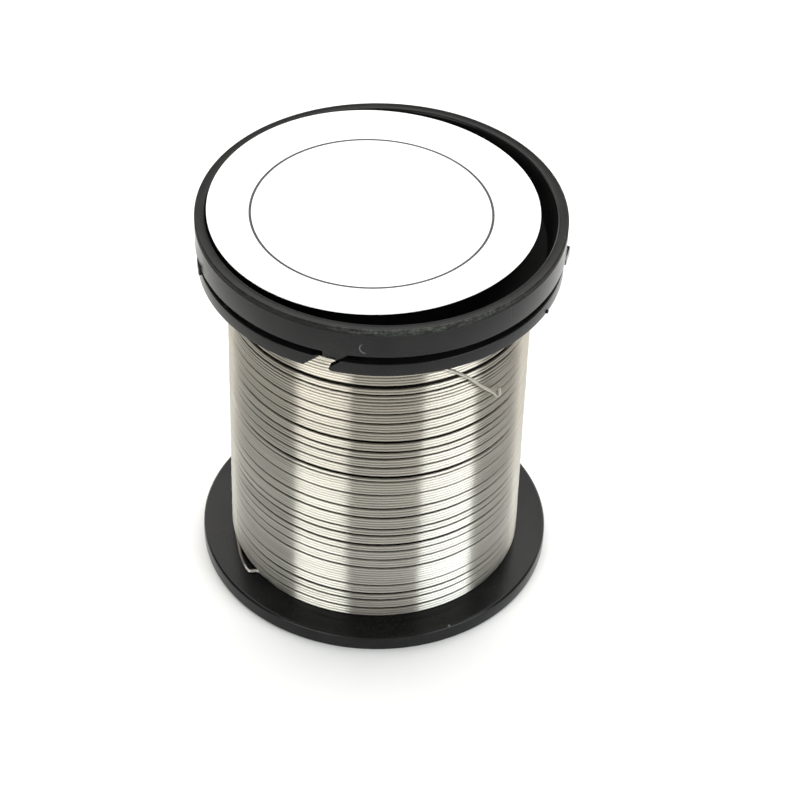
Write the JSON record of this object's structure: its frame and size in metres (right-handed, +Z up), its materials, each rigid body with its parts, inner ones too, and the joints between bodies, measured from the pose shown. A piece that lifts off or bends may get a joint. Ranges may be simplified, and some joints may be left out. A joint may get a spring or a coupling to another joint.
{
  "type": "solder wire spool",
  "caption": "Small reel of fine solder wire: hollow flanged barrel, slotted winding flange, dished end cap with a round label.",
  "frame": {"origin": "centre of the lower flange's underside, where the reel stands", "axes": "+Z up along the reel's axis towards the label, -Y towards the front, where the wire slot is just left of centre, +X to the right"},
  "size_m": [0.0423, 0.042, 0.0494],
  "materials": {
    "black_plastic": "satin moulded black plastic",
    "solder_wire": "bright drawn tin alloy",
    "label_paper": "smooth white label paper"
  },
  "bodies": {
    "reel": {"flanged_barrel": "black_plastic", "winding_flange": "black_plastic", "inner_turns": "solder_wire", "outer_turns": "solder_wire", "wire_tail": "solder_wire"},
    "cap": {"end_cap": "black_plastic", "label": "label_paper"}
  },
  "joints": [
    {"name": "cap_lift", "type": "slide", "parent": "reel", "child": "cap", "axis": [0, 0, 1], "range_m": [0, 0.015]}
  ]
}
